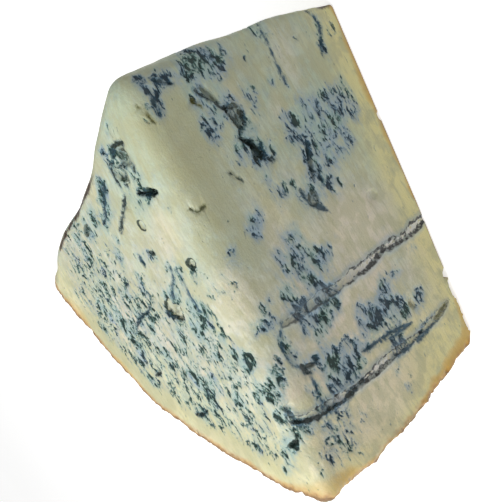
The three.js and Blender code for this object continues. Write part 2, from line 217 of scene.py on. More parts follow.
# Where mould is thick: centre, half widths and strength
MARBLING = {
    "front": [
        (5, 91, 3, 2, 0.7), (12, 90, 3, 2, 0.6), (6, 85, 3, 4, 0.6), (6, 74, 8, 5, 0.9),
        (5, 66, 6, 5, 0.95), (24, 75.5, 4, 2.5, 0.75), (34, 70, 3, 2, 0.8), (24, 66, 8, 4, 0.8),
        (36, 63, 6, 4, 0.95), (4, 60, 3, 2, 0.7), (20, 58, 5, 3, 0.7), (37, 58, 3, 2, 0.7),
        (55, 76, 4, 3, 1.15), (59, 89, 2, 2, 0.6), (50, 61, 3, 3, 0.7), (51, 56, 3, 2, 0.7),
        (57, 50, 6, 5, 0.8), (48, 44, 9, 4, 0.95), (18, 46, 3, 2, 0.8), (30, 46, 3, 2, 0.8),
        (36, 41, 8, 6, 0.8), (21, 40, 2, 2, 0.8), (29, 35, 6, 5, 0.95), (44, 33, 8, 5, 1.0),
        (44, 25, 5, 4, 0.9), (29, 24, 3, 3, 0.9), (37, 23, 4, 5, 1.0), (34, 14.5, 6, 4, 0.75),
        (57, 39, 4, 4, 0.7), (4, 13, 4, 2, 0.8), (14, 15, 5, 2, 0.65), (9, 7, 2, 2, 0.35),
        (76, 67, 8, 9, 1.1), (84, 74, 5, 5, 0.8), (78, 86, 3, 3, 0.8), (83, 88, 2, 4, 0.8),
        (92, 69, 6, 8, 0.95), (93, 87, 7, 2, 0.6), (100, 95, 7, 3, 0.9), (102, 80, 3, 5, 0.9),
        (113, 84, 8, 3, 0.8), (124, 86, 6, 4, 0.65), (128, 84, 10, 9, 0.5), (111, 73, 7, 6, 1.0),
        (114, 68, 6, 5, 1.05), (105, 64, 2, 2, 0.7), (112, 61, 4, 5, 1.05), (104, 48, 5, 6, 0.95),
        (103, 40, 6, 5, 1.05), (99, 34, 2, 6, 0.8), (110, 36, 6, 5, 0.9), (112, 41, 9, 4, 0.6),
        (112, 23, 4, 4, 0.8), (96, 14, 2, 2, 0.8), (127, 48, 2, 2, 0.6), (134, 48, 2, 2, 0.6),
        (118, 93, 5, 5, 0.8), (122.4, 30, 1.6, 14, 0.5), (128, 80, 5, 8, 0.45), (129, 95, 7, 4, 0.3),
    ],
    "top": [
        (-28, 1, 9, 7, 0.6), (-34, -8, 3, 6, 0.7), (-76, 44, 4, 4, 0.9), (-80, 38, 3, 3, 0.8),
        (-66, 32, 5, 3, 1.0), (-56, 26, 4, 2, 0.9), (-55, 18, 4, 2, 1.0), (-49, 16, 6, 3, 1.2),
        (-42, 15, 5, 3, 1.2), (-68, 13, 4, 3, 0.9), (-60, 12, 3, 2, 0.9), (-75, 3, 5, 2, 0.8),
        (-63, 0, 3, 3, 0.65), (-57, -7, 2, 2, 0.7), (-69, -16, 5, 4, 1.0), (-62, -19, 7, 4, 0.75),
        (-52, -27, 5, 3, 0.5), (-77, -28, 6, 5, 1.05), (-68, -26, 4, 5, 1.0), (-74, -38, 2, 2, 1.0),
        (-76, -43, 2, 2, 0.9), (-54, -35, 4, 3, 0.5), (-79, -49, 3, 3, 0.9), (-76, -57, 5, 3, 1.0),
        (-52, -57, 8, 4, 0.9), (-36, -45, 2, 2, 0.9), (-24, -53, 3, 3, 1.0), (-3, -18, 2, 3, 0.9),
        (-18, 6.5, 2, 1.5, 0.7), (-122, 36, 4, 4, 0.8), (-108, 33, 5, 5, 1.0), (-102, 24, 4, 3, 1.0),
        (-109, 18, 5, 5, 1.0), (-122, 11, 4, 3, 0.8), (-115, 10, 5, 3, 1.1), (-103, 13, 4, 3, 0.9),
        (-88, 13, 3, 2, 0.9), (-95, 8, 5, 3, 0.9), (-130, 6, 3, 3, 0.7), (-97, 0, 7, 2, 1.0),
        (-105, -6, 3, 4, 1.0), (-116, -6, 3, 2, 0.7), (-90, -18, 8, 3, 0.8), (-106, -21, 4, 4, 1.0),
        (-123, -25, 4, 3, 0.9), (-104, -32, 8, 4, 0.95), (-84, -35, 2, 2, 1.0), (-98, -44, 4, 4, 1.0),
        (-86, -54, 5, 5, 0.95), (-117, -51, 5, 3, 0.6), (-107, -66, 6, 3, 0.9), (-101, -67, 3, 2, 1.2),
        (-92, -62, 3, 3, 0.9),
    ],
    "back": [
        (30, 63, 13, 6, 1.0), (12, 40, 9, 12, 0.7), (42, 25, 10, 7, 0.9), (57, 52, 9, 14, 0.7),
        (80, 69, 12, 7, 1.0), (78, 30, 11, 7, 0.9), (100, 52, 9, 12, 0.9), (112, 76, 9, 7, 0.7),
        (118, 30, 7, 9, 0.6), (24, 84, 7, 5, 0.6), (92, 14, 7, 4, 0.5), (66, 86, 8, 4, 0.6),
        (46, 76, 8, 5, 0.7), (62, 32, 7, 6, 0.7), (22, 55, 8, 4, 0.8), (92, 36, 8, 5, 0.7),
        (100, 88, 7, 4, 0.6), (130, 54, 5, 9, 0.5), (34, 11, 6, 3, 0.6), (70, 60, 8, 6, 0.8),
        (104, 66, 7, 6, 0.9), (88, 52, 7, 5, 0.7), (116, 52, 6, 8, 0.7), (10, 72, 6, 5, 0.8),
        (8, 20, 5, 5, 0.6),
    ],
}

# Soft patches of paler, pinkish paste, or below zero of darker, olive paste. On the front cut they
# are partly painted light and shade, paler towards the wall and darker towards the point.
TONES_AND_PAINTED_LIGHT = {
    "front": [
        (62, 68, 18, 11, 0.4), (15, 62, 7, 6, 0.4), (26, 48, 6, 5, 0.5), (14, 35, 10, 5, 0.4),
        (74, 36, 14, 20, 0.7), (100, 58, 11, 9, 0.7), (130, 62, 14, 26, 0.7), (128, 93, 12, 8, 0.4),
        (96, 40, 9, 12, 0.6), (24, 86, 24, 9, -0.8), (12, 53, 10, 6, -0.6), (45, 68, 6, 8, -0.4),
        (20, 20, 14, 9, -0.3), (52, 84, 12, 6, -0.4),
    ],
    "top": [
        (-84, -62, 5, 5, 0.7), (-52, -42, 16, 9, 0.6), (-45, -15, 12, 6, 0.5), (-92, -4, 6, 4, 0.5),
        (-100, 48, 18, 14, -0.5), (-14, -4, 9, 9, -0.4), (-24, -24, 10, 8, -0.3), (-130, 40, 14, 16, -0.8),
        (-134, 8, 12, 20, -0.8), (-126, -34, 12, 20, -0.7), (-116, -64, 10, 14, -0.6),
    ],
    "back": [
        (40, 50, 20, 20, 0.5), (90, 60, 18, 16, 0.5), (20, 80, 16, 9, -0.5), (110, 20, 16, 10, -0.3),
    ],
}

# Where the skin under the rind is thick and amber
AMBER = {
    "front": [
        (30, 2, 20, 6, 0.5), (62, 3, 16, 5, 0.25), (1, 3, 4, 8, 0.5), (143, 10, 6, 16, 1.0),
        (136, 2, 12, 5, 0.8), (141, 94, 5, 8, 0.7), (144, 32, 3, 12, 0.5),
    ],
    "top": [
        (-124, 58, 8, 8, 0.8), (-142, 27, 7, 8, 0.6), (-112, -82, 14, 8, 0.6),
    ],
    "back": [
        (120, 4, 20, 8, 1.0), (138, 60, 8, 16, 0.8), (40, 2, 16, 6, 0.7),
    ],
}

# How far below a cut its mould and its tones reach, and how they fade out of their patches
MARBLING_DEPTH, TONE_DEPTH = 9.0, 14.0
MOULD_FADE, HAZE_FADE, TONE_FADE = (0.4, 1.5), (0.4, 2.0), (0.3, 1.6)
HAZE_GAIN = 1.2
PATCH_REACH = 3

# Between its patches the level cut is thinly veined, except by its wall, front ridge, point and back
BETWEEN_TOP, BETWEEN_HAZE, HAZE_LOST = 0.46, 0.6, 0.4
VEIN_FREE_SKIN, VEIN_FREE_RIDGE = (8.0, 22.0), (4.0, 14.0)
VEINED_REACH, VEINLESS_SIDE = (58, 88), (42, 64)

# How far channels, cracks and holes are looked for, and what is stored where there are none
FEATURE_REACH, FAR_GAP = 6.0, 8.0

# Channels: depth by half width, the links of their chains, and what is left at their tips and ends
CHANNEL_DEPTH = 0.45
CHAIN_STEP, CHAIN_APART, CHAIN_SEED, CHAIN_SWELL = 4.5, 7, 5, 0.35
TIP_START, TIP_END, END_FADE = (0, 0.05), (0, 0.08), (0.05, 0.45)
TIP_WIDTH, END_SHARE, END_PLAIN, END_DEPTH, FOOT_DEPTH = 0.45, 0.3, 0.6, 0.3, 0.4
FOOT_RISE = (0, 6)
OPEN_FADE, CLOSE_FADE = 0.05, 0.15
LIP, LIP_PLACE, LIP_WIDTH = 0.25, 0.4, 0.35

# Cracks: how thin their tips are and how long, and their walls' slope
CRACK_TIP, CRACK_TAPER, CRACK_SLOPE = 0.3, (0, 0.3), (0.3, 1.2)

# Layers of noise with a share, a spacing and a seed each, and dents with a depth before them
CHANNEL_WANDER = ((0.4, 2.4, 3), (0.3, 1.2, 4))
CRACK_WANDER = ((0.6, 1.6, 7), (0.5, 3.6, 8))
HOLE_WANDER = ((0.25, 2.6, 11), (0.12, 1.1, 12))
MOULD_WANDER = ((0.7, 6.5, 31), (0.4, 3.0, 32))
RIND_BUMPS = ((0.4, 5.5, 21), (0.35, 2.3, 22), (0.15, 1.0, 23))
RIND_DENTS, RIND_SUNK = (0.8, 4.2, 24, (0.3, 0.7)), 0.2
RIM_BUMPS, RIM_DENTS = ((0.4, 2.6, 27), (0.35, 1.2, 28)), (0.5, 4.0, 29, (0.4, 0.7))
SMEARS, DRAGS, DRAG_STRETCH = ((0.14, 9.0, 25),), ((0.07, 2.4, 26),), np.array([0.4, 0.4, 1.0])
RIM_REACH, RELIEF_OFF_BASE = (1.5, 5.0), (1.0, 5.0)
VEIN_RELIEF, VEINS_OFF_BASE = 0.45, (0.5, 4.0)

# The foot's crumbs: how deep and how far in they go, their teeth, and how their sides slope
CHIP_DEPTH, CHIP_REACH = 3.0, 8.0
FOOT_TEETH, TOOTH_HEIGHT, TORN_SIDE, TORN_TOP = ((0.5, 1.6, 41), (0.3, 4.0, 42)), 0.35, 0.5, 0.3
BITE_SIDE, BITE_TOP = (0.5, 1.1), (0.75, 1.1)
FLAT_LINE, LEAST_HEIGHT = 50.0, 0.01

# The skin: how much each millimetre in from the wall counts, and how much of the rim is left out.
# The rind: how far in it starts, and how far its surface is turned outwards or down.
WALL_SKIN, RIM_SKIN, RIM_LEVELS = 0.5, 0.6, (HEIGHT - 5, HEIGHT - 1)
RIND_OUTSIDE, WALL_TURN, UNDER_TURN = (-1.6, -0.7), (0.25, 0.6), (0.25, 0.7)

# The mesh: its first grid, how it is drawn to the surface, where it is refined, and its triangles
GRID_ALONG, GRID_UP, PACKING = 125, 85, 0.3
SLOPE_STEP, DRAW_ROUNDS, LEAST_SLOPE, FLAT_WITHIN = 0.01, 10, 0.2, 0.02
CUT_BAND, FEATURE_BAND = 3, 0.8
FACES_WANTED = 190_000

# Factors that scramble the corners of the noise's lattice, and the bits that are kept
LATTICE_FACTORS, SEED_FACTOR, MIX_FACTOR = (73856093, 19349663, 83492791), 2654435761, 1274126177
LOW_32, LOW_16, HALF_16 = 0xFFFFFFFF, 0xFFFF, 32767.5

# ---------------- values of the camera, the lights and the floor

# The picture's width and the lens's focal length in pixels, and the sensor's width in millimetres
PICTURE_WIDTH, FOCAL_PIXELS, SENSOR_WIDTH = 502, 565.5, 36
CAMERA_AIM = (-83.9, -5.5, 50.3)
CAMERA_DISTANCE = 226.0
CAMERA_AZIMUTH, CAMERA_ELEVATION, CAMERA_ROLL = 48.59, 34.87, 123.73
CLIP_START = 0.01

# Each light's place and size in metres, and its power
LIGHTS = {"key": ((-0.25, -0.43, 0.6), 0.5, 3.05), "overhead": ((-0.18, 0.0, 0.62), 0.5, 1.3)}
LIGHTS_AIM = (0, 0, 0.05)
WORLD_STRENGTH = 0.37
FLOOR_SIZE, FLOOR_ROUGHNESS, FLOOR_GLOW = 8, 0.9, 0.6


# ---------------- numbers and noise


def smooth(low, high, x):
    t = np.clip((x - low) / (high - low), 0, 1)
    return t * t * (3 - 2 * t)


def bell(distance, reach):
    return np.exp(-((distance / reach) ** 2))


def rounded_meet(a, b, radius):
    """Where two half spaces meet, with their shared edge rounded to a radius."""
    outside = np.hypot(np.maximum(a + radius, 0), np.maximum(b + radius, 0))
    return np.minimum(np.maximum(a, b), -radius) + outside


def wave(p, length):
    """A smooth uneven wave between -1 and 1, the same as the solid's."""
    k = 2 * math.pi / length
    x, y, z = p.T
    first = np.sin(k * (x + 0.6 * z) + 1.7 * np.sin(0.53 * k * y))
    second = np.sin(k * (0.8 * y - 0.7 * z) + 1.3 * np.sin(0.61 * k * x))
    third = np.sin(k * (1.1 * z - 0.5 * x + 0.4 * y) + 0.8)
    return (first + second + third) / 3


def grain(p, length, seed=0):
    """Value noise between -1 and 1 on a lattice of the given spacing."""
    cell = np.floor(p / length).astype(np.int64)
    part = p / length - cell
    part = part * part * (3 - 2 * part)
    total = np.zeros(len(p))
    for corner in np.ndindex(2, 2, 2):
        x, y, z = (cell + np.array(corner)).T * np.array(LATTICE_FACTORS)[:, None]
        key = x ^ y ^ z ^ (seed + 1) * SEED_FACTOR
        key = (key ^ (key >> 13)) * MIX_FACTOR & LOW_32
        key = (key ^ (key >> 16)) & LOW_16
        weight = np.prod(np.where(np.array(corner), part, 1 - part), axis=1)
        total += weight * (key / HALF_16 - 1)
    return total


def grains(p, layers, start=0.0):
    """Layers of value noise on top of a start, each with its share, spacing and seed."""
    for share, length, seed in layers:
        start = start + share * grain(p, length, seed)
    return start


def dents(p, deep, length, seed, limits):
    """Dents where one layer of noise is high, below zero."""
    return -deep * smooth(*limits, grain(p, length, seed))


# ---------------- the form


def blend(a, b, share):
    return a + (b - a) * share


def wall_distance(p):
    """Distance out from the rind's wall."""
    x, y, z = p.T
    drawn_in = np.where(z > WIDEST_LEVEL, DRAWN_IN_ABOVE, DRAWN_IN_BELOW)
    barrel = drawn_in * ((z - WIDEST_LEVEL) / BARREL_REACH) ** 2
    lump = LUMP * bell(y - LUMP_PLACE, LUMP_REACH) * smooth(*LUMP_LEVELS, z)
    rind_wave = RIND_WAVE_DEPTH * wave(p, RIND_WAVE_LENGTH) * smooth(*OFF_BASE, z)
    return np.hypot(x, y) - (WHEEL_RADIUS - barrel + lump) + RIND_WAVE_DEPTH + rind_wave


def edge_radius(y, z, reach):
    """The radius of the cuts' edges: crisp low down, smeared round where the level cut is near."""
    back = smooth(*FRONT_TO_BACK, y)
    front_ridge = blend(RIDGE_AT_POINT, RIDGE_INNER, smooth(*INNER_REACH, reach))
    front_ridge -= (RIDGE_INNER - RIDGE_OUTER) * smooth(*OUTER_REACH, reach)
    ridge = blend(front_ridge, RIDGE_BACK, back)
    ridge = blend(ridge, blend(FRONT_CORNER, BACK_CORNER, back), smooth(*CORNER_REACH, reach))
    foot = CRISP + (FRONT_FOOT - CRISP) * smooth(*FOOT_REACH, reach) * (1 - back)
    return blend(foot, ridge, smooth(*RIDGE_LEVELS, z))


def wedge_distance(p):
    """Distance to the wedge's surface, below zero inside, as the solid has it."""
    x, y, z = p.T
    reach = np.hypot(x, y)
    off_base = smooth(*OFF_BASE, z)
    cut_wave = CUT_WAVE_DEPTH * wave(p, CUT_WAVE_LENGTH)

    middle = SWELL * smooth(*SWELL_FADE, z) * smooth(*SWELL_FADE, HEIGHT - z)
    high = SWELL_TOP * smooth(*SWELL_TOP_LEVELS, z)
    swell = bell(reach, SWELL_REACH) * (middle + high) + cut_wave * off_base
    along_back = y * SINE - x * COSINE
    hollow = SCOOP * bell(along_back - SCOOP_PLACE, SCOOP_REACH)
    hollow += DRAWN_BACK * smooth(*DRAWN_BACK_REACH, along_back)
    front = SINE * x - COSINE * y - swell
    back = SINE * x + COSINE * y - swell + hollow * smooth(*SCOOP_LEVELS, z)

    top = z - HEIGHT + CUT_WAVE_DEPTH - cut_wave
    wheel = rounded_meet(rounded_meet(wall_distance(p), -z, BASE_RIM), top, TOP_RIM)
    sector = rounded_meet(front, back, blend(POINT_LOW, POINT_HIGH, smooth(*POINT_LEVELS, z)))
    return rounded_meet(wheel, sector, edge_radius(y, z, reach))


def slope(p):
    steps = SLOPE_STEP * np.eye(3)
    rises = [wedge_distance(p + step) - wedge_distance(p - step) for step in steps]
    return np.stack([rise / (2 * SLOPE_STEP) for rise in rises], 1)


def draw_to_surface(p):
    for _ in range(DRAW_ROUNDS):
        direction = slope(p)
        size = np.maximum((direction**2).sum(1), LEAST_SLOPE)
        p = p - direction * (wedge_distance(p) / size)[:, None]
    p[np.abs(p[:, 2]) < FLAT_WITHIN, 2] = 0
    return p


def box_shell(along, up):
    """Vertices and quads of a box grid's outside, with shared edges. Vertices run from 0 to 1."""
    size = (along + 1, along + 1, up + 1)
    i, j, k = np.indices(size)
    shell = (i % along == 0) | (j % along == 0) | (k % up == 0)
    ids = np.full(size, -1)
    ids[shell] = np.arange(shell.sum())
    points = np.stack([i[shell] / along, j[shell] / along, k[shell] / up], 1)
    quads = []
    for axis in range(3):
        for end in (0, -1):
            side = np.take(ids, end, axis=axis)
            corners = [side[:-1, :-1], side[1:, :-1], side[1:, 1:], side[:-1, 1:]]
            flip = (end == 0) != (axis == 1)
            quads.append(np.stack(corners[::-1] if flip else corners, -1).reshape(-1, 4))
    return points, np.concatenate(quads)


def packed(t):
    """Moves shares of a side towards both its ends, where the edges are."""
    return t - PACKING * np.sin(2 * math.pi * t) / (2 * math.pi)


def bend_to_wedge(points):
    """The box's two sides at the origin become the cuts, and the other two the outer wall."""
    back, front, height = packed(points).T
    ring = np.maximum(np.maximum(back, front), 1e-9)
    turn = np.where(back >= front, 1 - front / ring, back / ring - 1)
    angle = turn * HALF_ANGLE
    reach = ring * WHEEL_RADIUS
    return np.stack([-reach * np.cos(angle), reach * np.sin(angle), height * HEIGHT], 1)


# ---------------- places on the cuts


def on_face(face, p):
    """Along, across and depth below a cut, for each point."""
    origin, along, across, out = FACES[face]
    return (p - origin) @ along, (p - origin) @ across, -((p - origin) @ out)


def rows(table):
    """Each row of a table, after the name of its face."""
    return [(face, row) for face, face_rows in table.items() for row in face_rows]


def near_face(depth):
    return 1 - smooth(0.5 * FEATURE_REACH, FEATURE_REACH, np.abs(depth))


def close_by(face, p, places):
    """The points within FEATURE_REACH of a box round some places of a face, and where they lie on it."""
    along, across, below = on_face(face, p)
    low, high = np.min(places, 0) - FEATURE_REACH, np.max(places, 0) + FEATURE_REACH
    inside = (along > low[0]) & (along < high[0]) & (across > low[1]) & (across < high[1])
    chosen = np.flatnonzero(inside & (np.abs(below) < FEATURE_REACH))
    return chosen, along[chosen], across[chosen], near_face(below[chosen])


def rounded_route(route, rounds=3):
    """A route with its corners cut until it curves."""
    points = np.array(route, float)
    for _ in range(rounds):
        quarter = 0.75 * points[:-1] + 0.25 * points[1:]
        three_quarter = 0.25 * points[:-1] + 0.75 * points[1:]
        inner = np.stack([quarter, three_quarter], 1).reshape(-1, 2)
        points = np.concatenate([points[:1], inner, points[-1:]])
    return points


def distance_to_route(along, across, route):
    """Distance from each place to a route, and how far along the route its nearest point lies, 0 to 1."""
    place = np.stack([along, across], 1)
    nearest = np.full(len(place), math.inf)
    share = np.zeros(len(place))
    points = rounded_route(route)
    for n, (start, end) in enumerate(zip(points[:-1], points[1:])):
        leg = end - start
        t = np.clip((place - start) @ leg / (leg @ leg), 0, 1)
        gap = np.linalg.norm(place - start - t[:, None] * leg, axis=1)
        closer = gap < nearest
        nearest[closer] = gap[closer]
        share[closer] = (n + t[closer]) / (len(points) - 1)
    return nearest, share


def keep_nearest(chosen, edge, near, nearest, **others):
    """Stores, where this feature's edge is the nearest one yet, its distance and its other values."""
    edge = edge + FAR_GAP * (1 - near)
    nearer = edge < nearest["edge"][chosen]
    spots = chosen[nearer]
    nearest["edge"][spots] = edge[nearer]
    for name, values in others.items():
        nearest[name][spots] = np.broadcast_to(values, len(chosen))[nearer]


def nothing_near(count, *names):
    return {"edge": np.full(count, FAR_GAP), **{name: np.zeros(count) for name in names}}


def route_length(route):
    return np.linalg.norm(np.diff(np.array(route, float), axis=0), axis=1).sum()


def channel_edge(here, radius, route, distance, share):
    """A channel's half width, how many of them each place lies from its middle, and how full it is
    between its narrow tips."""
    tips = smooth(*TIP_START, share) * smooth(*TIP_END, 1 - share)
    run, apart = share * route_length(route), np.full(len(share), CHAIN_APART * radius)
    links = np.stack([run, apart, np.zeros(len(share))], 1)
    swell = 1 + CHAIN_SWELL * grain(links, CHAIN_STEP, CHAIN_SEED)
    width = radius * blend(TIP_WIDTH, 1, tips) * swell
    return width, grains(here, CHANNEL_WANDER, distance) / width, tips


def channels(p):
    """Millimetres outside the nearest channel's edge, how plainly its walls show, dark as mould and
    painted shade, how pale its floor is, partly as painted highlight, and its depth."""
    found, depth = nothing_near(len(p), "plain", "pale"), np.zeros(len(p))
    for face, (radius, (opens, closes), route) in rows(CHANNELS):
        chosen, along, across, near = close_by(face, p, route)
        distance, share = distance_to_route(along, across, route)
        width, off, tips = channel_edge(p[chosen], radius, route, distance, share)
        ends = tips * blend(END_SHARE, 1, smooth(*END_FADE, 1 - share))
        floor = smooth(opens - OPEN_FADE, opens + OPEN_FADE, share)
        floor *= 1 - smooth(closes - CLOSE_FADE, closes + CLOSE_FADE, share)
        keep_nearest(chosen, (off - 1) * width, near, found, plain=blend(END_PLAIN, 1, ends), pale=floor)
        bowl = CHANNEL_DEPTH * radius * np.sqrt(np.maximum(1 - off**2, 0))
        foot = blend(FOOT_DEPTH, 1, smooth(*FOOT_RISE, p[chosen, 2]))
        depth[chosen] = np.maximum(depth[chosen], bowl * (near * blend(END_DEPTH, 1, ends) * foot))
    return found, depth


def cracks(p):
    """Millimetres outside the nearest crack's edge, its colour, and its depth."""
    found, depth = nothing_near(len(p), "shade"), np.zeros(len(p))
    for face, (half, deep, tone, route) in rows(CRACKS):
        chosen, along, across, near = close_by(face, p, route)
        distance, share = distance_to_route(along, across, route)
        distance += grains(p[chosen], CRACK_WANDER)
        taper = (1 - CRACK_TIP) * smooth(*CRACK_TAPER, share) * smooth(*CRACK_TAPER, 1 - share)
        width = half * (CRACK_TIP + taper)
        keep_nearest(chosen, distance - width, near, found, shade=tone)
        carved = deep * (1 - smooth(*CRACK_SLOPE, distance / width)) * near
        depth[chosen] = np.maximum(depth[chosen], carved)
    return found, depth


def holes(p):
    """Millimetres outside the nearest hole's edge, its darkness inside and at the rim, and its depth."""
    found, depth = nothing_near(len(p), "inside", "rim"), np.zeros(len(p))
    for face, ((u, v), (wide, tall), deep, turn, dark, edge) in rows(HOLES):
        reach = max(wide, tall)
        chosen, along, across, near = close_by(face, p, [(u - reach, v - reach), (u + reach, v + reach)])
        du, dv = along - u, across - v
        a = du * math.cos(turn) + dv * math.sin(turn)
        b = -du * math.sin(turn) + dv * math.cos(turn)
        off = np.hypot(a / wide, b / tall)
        off += grains(p[chosen], HOLE_WANDER)
        keep_nearest(chosen, (off - 1) * min(wide, tall), near, found, inside=dark, rim=edge)
        depth[chosen] = np.maximum(depth[chosen], deep * np.sqrt(np.maximum(1 - off**2, 0)) * near)
    return found, depth


def skin_depth(p):
    """Distance inwards from the rind, through the paste. The wall's skin is the thicker one."""
    rim = RIM_SKIN * TOP_RIM * smooth(*RIM_LEVELS, p[:, 2])
    return np.minimum(WALL_SKIN * (-wall_distance(p) - rim), p[:, 2])


def between_patches(p):
    """How much of the level cut's thin veins there is, and how far towards the back cut they thin out."""
    top = bell(on_face("top", p)[2], MARBLING_DEPTH) * smooth(*VEINED_REACH, np.hypot(p[:, 0], p[:, 1]))
    top *= smooth(*VEIN_FREE_SKIN, -wall_distance(p)) * smooth(*VEIN_FREE_RIDGE, on_face("front", p)[2])
    return top, smooth(*VEINLESS_SIDE, p[:, 1])


def marbling(p):
    """How thick the mould is, 0 to about 1.2, and how far its bluish haze reaches."""
    total, haze = np.zeros(len(p)), np.zeros(len(p))
    for face, patches in MARBLING.items():
        along, across, below = on_face(face, p)
        near = bell(below, MARBLING_DEPTH)
        for u, v, wide, tall, strength in patches:
            around = np.hypot((along - u) / wide, (across - v) / tall)
            close = np.flatnonzero(around < PATCH_REACH)
            off = around[close] + grains(p[close], MOULD_WANDER)
            held = strength * near[close]
            total[close] = np.maximum(total[close], held * (1 - smooth(*MOULD_FADE, off)))
            haze[close] = np.maximum(haze[close], HAZE_GAIN * held * (1 - smooth(*HAZE_FADE, off)))
    top, side = between_patches(p)
    thick = np.maximum(total, BETWEEN_TOP * top * (1 - side))
    return thick, np.maximum(haze, BETWEEN_HAZE * top * (1 - HAZE_LOST * side))


def soft_patches(p, lists):
    """Patches with long soft edges, added up."""
    total = np.zeros(len(p))
    for face, patches in lists.items():
        along, across, below = on_face(face, p)
        near = bell(below, TONE_DEPTH)
        for u, v, wide, tall, strength in patches:
            around = np.hypot((along - u) / wide, (across - v) / tall)
            total += strength * near * (1 - smooth(*TONE_FADE, around))
    return np.clip(total, -1, 1)


def rind_share(p, normal):
    """1 on the rind itself and 0 on the cuts."""
    reach = np.maximum(np.hypot(p[:, 0], p[:, 1]), 1)
    outward = (p[:, 0] * normal[:, 0] + p[:, 1] * normal[:, 1]) / reach
    on_wall = smooth(*RIND_OUTSIDE, wall_distance(p)) * smooth(*WALL_TURN, outward)
    return np.maximum(on_wall, smooth(*UNDER_TURN, -normal[:, 2]))


# ---------------- relief


def relief(p, normal):
    """How far each point moves out along the surface, in millimetres."""
    rind = rind_share(p, normal)
    off_base = smooth(*RELIEF_OFF_BASE, p[:, 2])
    height = rind * (grains(p, RIND_BUMPS) + dents(p, *RIND_DENTS) - RIND_SUNK) * off_base
    ragged = grains(p, RIM_BUMPS) + dents(p, *RIM_DENTS)
    height += (1 - smooth(*RIM_REACH, -wall_distance(p))) * ragged * off_base
    smear = grains(p, SMEARS) + grains(p * DRAG_STRETCH, DRAGS)
    height += (1 - rind) * smear * off_base
    for carve in (channels, cracks, holes):
        height -= carve(p)[-1]
    height += LIP * bell(channels(p)[0]["edge"] - LIP_PLACE, LIP_WIDTH) * off_base
    return height


def chipped_foot(p):
    """Moves the foot of the cuts inwards, level, where crumbs have broken away."""
    moved = p.copy()
    for face, bites in FOOT_BITES.items():
        along, _, below = on_face(face, p)
        line = np.stack([along, np.full(len(p), FLAT_LINE), np.zeros(len(p))], 1)
        torn = grains(line, FOOT_TEETH)
        high = TOOTH_HEIGHT * np.maximum(torn, 0)
        for place, half, height in bites:
            off = np.abs(along - place) / half + TORN_SIDE * torn
            high = np.maximum(high, height * (1 - smooth(*BITE_SIDE, off)) * (1 + TORN_TOP * torn))
        bitten = 1 - smooth(*BITE_TOP, p[:, 2] / np.maximum(high, LEAST_HEIGHT))
        amount = CHIP_DEPTH * bitten * (1 - smooth(0, CHIP_REACH, below))
        moved -= amount[:, None] * FACES[face][3]
    return moved


# ---------------- nodes


class Nodes:
    """Short calls for the nodes that shader trees and geometry trees share."""

    def __init__(self, tree):
        self.tree = tree

    def add(self, kind, **settings):
        node = self.tree.nodes.new(kind)
        for name, value in settings.items():
            setattr(node, name, value)
        return node

    def plug(self, socket, value):
        if isinstance(value, bpy.types.NodeSocket):
            self.tree.links.new(value, socket)
        else:
            socket.default_value = value

    def worked_out(self, kind, operation, values, **settings):
        node = self.add(kind, operation=operation, **settings)
        for socket, value in zip(node.inputs, values):
            self.plug(socket, value)
        return node.outputs

    def math(self, operation, *values, clamp=False):
        return self.worked_out("ShaderNodeMath", operation, values, use_clamp=clamp)[0]

    def plus(self, a, b, clamp=False):
        return self.math("ADD", a, b, clamp=clamp)

    def times(self, a, b):
        return self.math("MULTIPLY", a, b)

    def vector(self, operation, *values):
        return self.worked_out("ShaderNodeVectorMath", operation, values)[0]

    def scaled(self, value, factor):
        result = self.vector("SCALE", value)
        result.node.inputs["Scale"].default_value = factor
        return result

    def turned(self, value, axis, angle):
        node = self.add("ShaderNodeVectorRotate", rotation_type=axis)
        self.plug(node.inputs["Vector"], value)
        node.inputs["Angle"].default_value = angle
        return node.outputs[0]

    def noise(self, place, size, detail=2.0, rough=0.5, colour=False):
        node = self.add("ShaderNodeTexNoise")
        self.plug(node.inputs["Vector"], place)
        node.inputs["Scale"].default_value = 1 / size
        node.inputs["Detail"].default_value = detail
        node.inputs["Roughness"].default_value = rough
        return node.outputs["Color" if colour else "Fac"]

    def uneven(self, place, size, gain, detail=2.0, rough=0.5):
        """Noise about zero instead of 0 to 1, times a gain."""
        return self.times(self.math("SUBTRACT", self.noise(place, size, detail, rough), 0.5), gain)

    def length(self, value):
        return self.worked_out("ShaderNodeVectorMath", "LENGTH", (value,))["Value"]

    def part(self, value, axis):
        node = self.add("ShaderNodeSeparateXYZ")
        self.plug(node.inputs[0], value)
        return node.outputs[axis]

    def ramp(self, value, low, high, to_low=0.0, to_high=1.0):
        node = self.add("ShaderNodeMapRange", interpolation_type="SMOOTHSTEP")
        for name, number in zip(("Value", "From Min", "From Max", "To Min", "To Max"),
                                (value, low, high, to_low, to_high)):
            self.plug(node.inputs[name], number)
        return node.outputs[0]

    def mix(self, share, a, b):
        node = self.add("ShaderNodeMix", data_type="RGBA")
        self.plug(node.inputs[0], share)
        self.plug(node.inputs[6], a)
        self.plug(node.inputs[7], b)
        return node.outputs[2]


# How far the curd is drawn out along the front cut, and how steeply it runs downhill
CURD_STRETCH, CURD_TILT = (2.2, 1.2, 1.0), math.radians(11)

